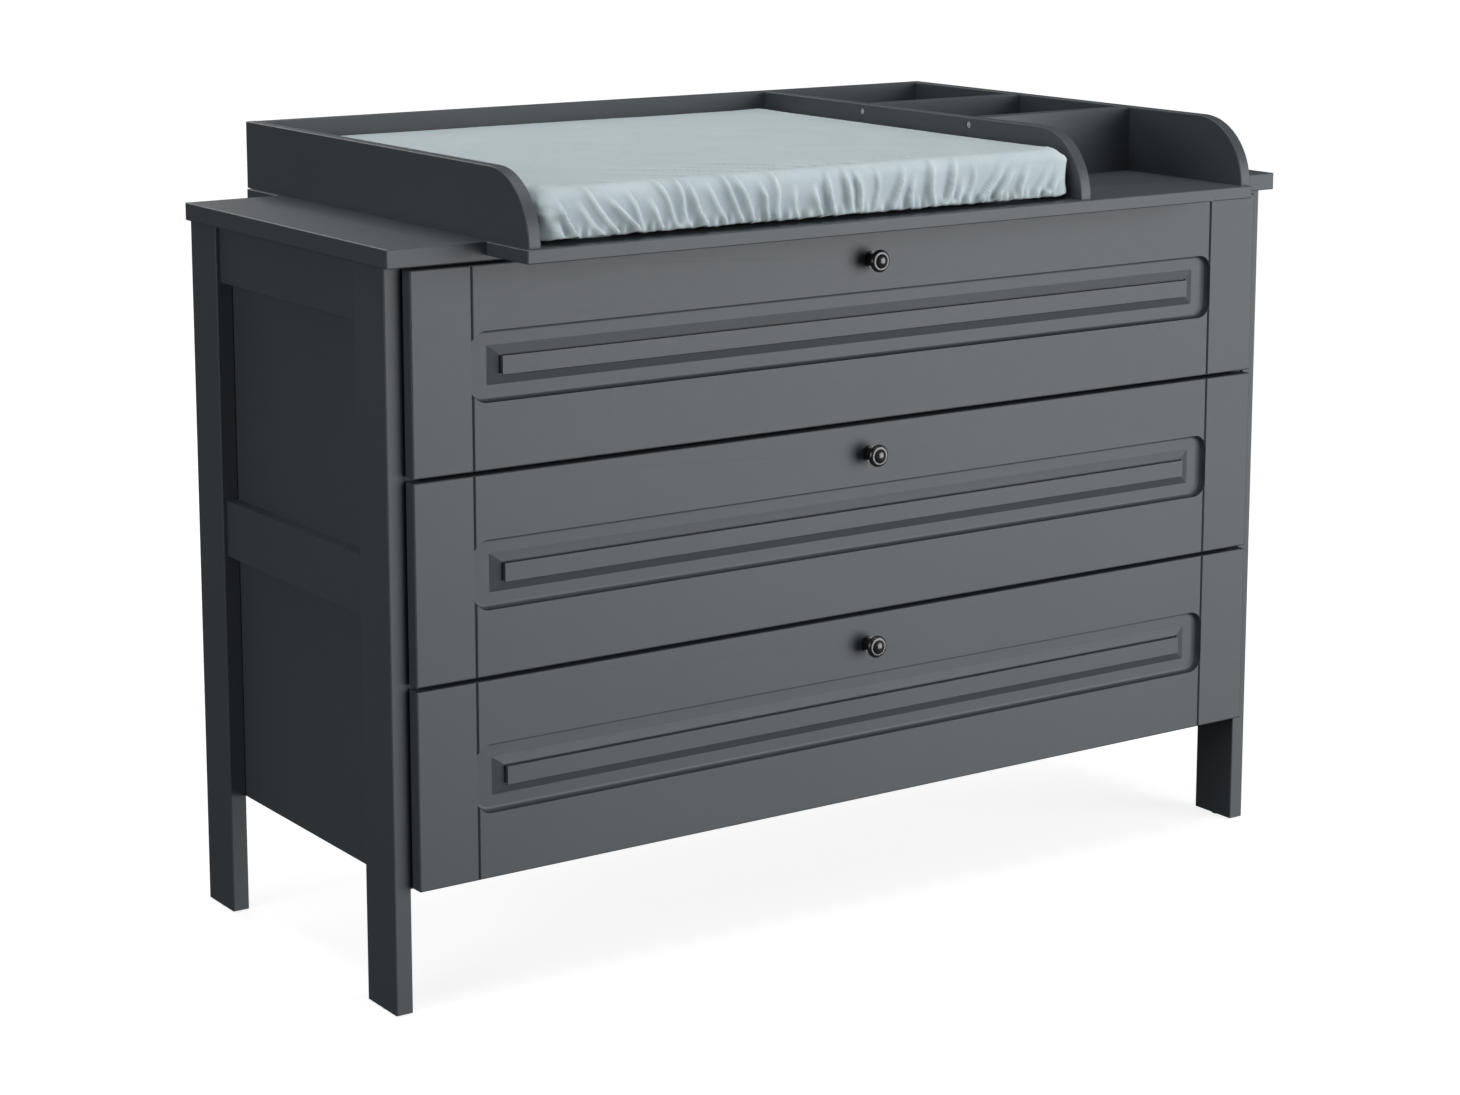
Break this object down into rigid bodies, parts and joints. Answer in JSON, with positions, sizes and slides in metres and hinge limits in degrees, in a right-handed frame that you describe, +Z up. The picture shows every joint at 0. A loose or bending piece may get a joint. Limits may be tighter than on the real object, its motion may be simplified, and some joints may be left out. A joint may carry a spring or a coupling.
{
  "type": "changing table",
  "caption": "Chest of drawers with a removable changing top that overhangs front and back, a divided storage tray beside the pad well, and a padded mat in a fitted cover.",
  "frame": {"origin": "middle of the overall footprint at floor level", "axes": "+Z up, the drawers face -Y, +X to the right seen from the front"},
  "size_m": [1.335, 0.709, 0.982],
  "materials": {
    "painted_board": "anthracite grey silk-matt lacquer on MDF",
    "carcass_board": "anthracite grey melamine-faced chipboard and hardboard",
    "steel": "zinc-plated steel",
    "knob_black": "gloss black lacquer",
    "glide": "moulded black plastic",
    "foam": "open-cell foam with a thin fleece",
    "cotton": "pale blue-grey woven cotton"
  },
  "bodies": {
    "cabinet": {"leg_front_left": "painted_board", "leg_front_right": "painted_board", "leg_rear_left": "painted_board", "leg_rear_right": "painted_board", "side_rail_top_left": "painted_board", "side_rail_top_right": "painted_board", "side_rail_mid_left": "painted_board", "side_rail_mid_right": "painted_board", "side_panel_left": "painted_board", "side_panel_right": "painted_board", "top_panel": "painted_board", "bottom_panel": "carcass_board", "back_panel": "carcass_board", "top_front_rail": "carcass_board", "foot_glides": "glide", "slide_1_cabinet_left": "steel", "slide_1_cabinet_right": "steel", "slide_2_cabinet_left": "steel", "slide_2_cabinet_right": "steel", "slide_3_cabinet_left": "steel", "slide_3_cabinet_right": "steel", "changer_front_plate": "painted_board", "changer_rear_plate": "painted_board", "changer_board_left": "painted_board", "changer_board_right": "painted_board", "changer_divider": "painted_board", "changer_back_board": "painted_board", "changer_cross_front": "painted_board", "changer_cross_rear": "painted_board", "changer_screws": "steel"},
    "drawer_1": {"drawer_1_front": "painted_board", "drawer_1_side_left": "carcass_board", "drawer_1_side_right": "carcass_board", "drawer_1_back": "carcass_board", "drawer_1_bottom": "carcass_board", "drawer_1_knob": "knob_black", "drawer_1_knob_screw": "steel", "drawer_1_slide_left": "steel", "drawer_1_slide_right": "steel"},
    "drawer_2": {"drawer_2_front": "painted_board", "drawer_2_side_left": "carcass_board", "drawer_2_side_right": "carcass_board", "drawer_2_back": "carcass_board", "drawer_2_bottom": "carcass_board", "drawer_2_knob": "knob_black", "drawer_2_knob_screw": "steel", "drawer_2_slide_left": "steel", "drawer_2_slide_right": "steel"},
    "drawer_3": {"drawer_3_front": "painted_board", "drawer_3_side_left": "carcass_board", "drawer_3_side_right": "carcass_board", "drawer_3_back": "carcass_board", "drawer_3_bottom": "carcass_board", "drawer_3_knob": "knob_black", "drawer_3_knob_screw": "steel", "drawer_3_slide_left": "steel", "drawer_3_slide_right": "steel"},
    "pad": {"pad_core": "foam", "pad_cover": "cotton"}
  },
  "joints": [
    {"name": "drawer_1_pull", "type": "slide", "parent": "cabinet", "child": "drawer_1", "axis": [0, -1, 0], "range_m": [0, 0.33]},
    {"name": "drawer_2_pull", "type": "slide", "parent": "cabinet", "child": "drawer_2", "axis": [0, -1, 0], "range_m": [0, 0.33]},
    {"name": "drawer_3_pull", "type": "slide", "parent": "cabinet", "child": "drawer_3", "axis": [0, -1, 0], "range_m": [0, 0.33]},
    {"name": "pad_lift", "type": "slide", "parent": "cabinet", "child": "pad", "axis": [0, 0, 1], "range_m": [0, 0.12]}
  ]
}
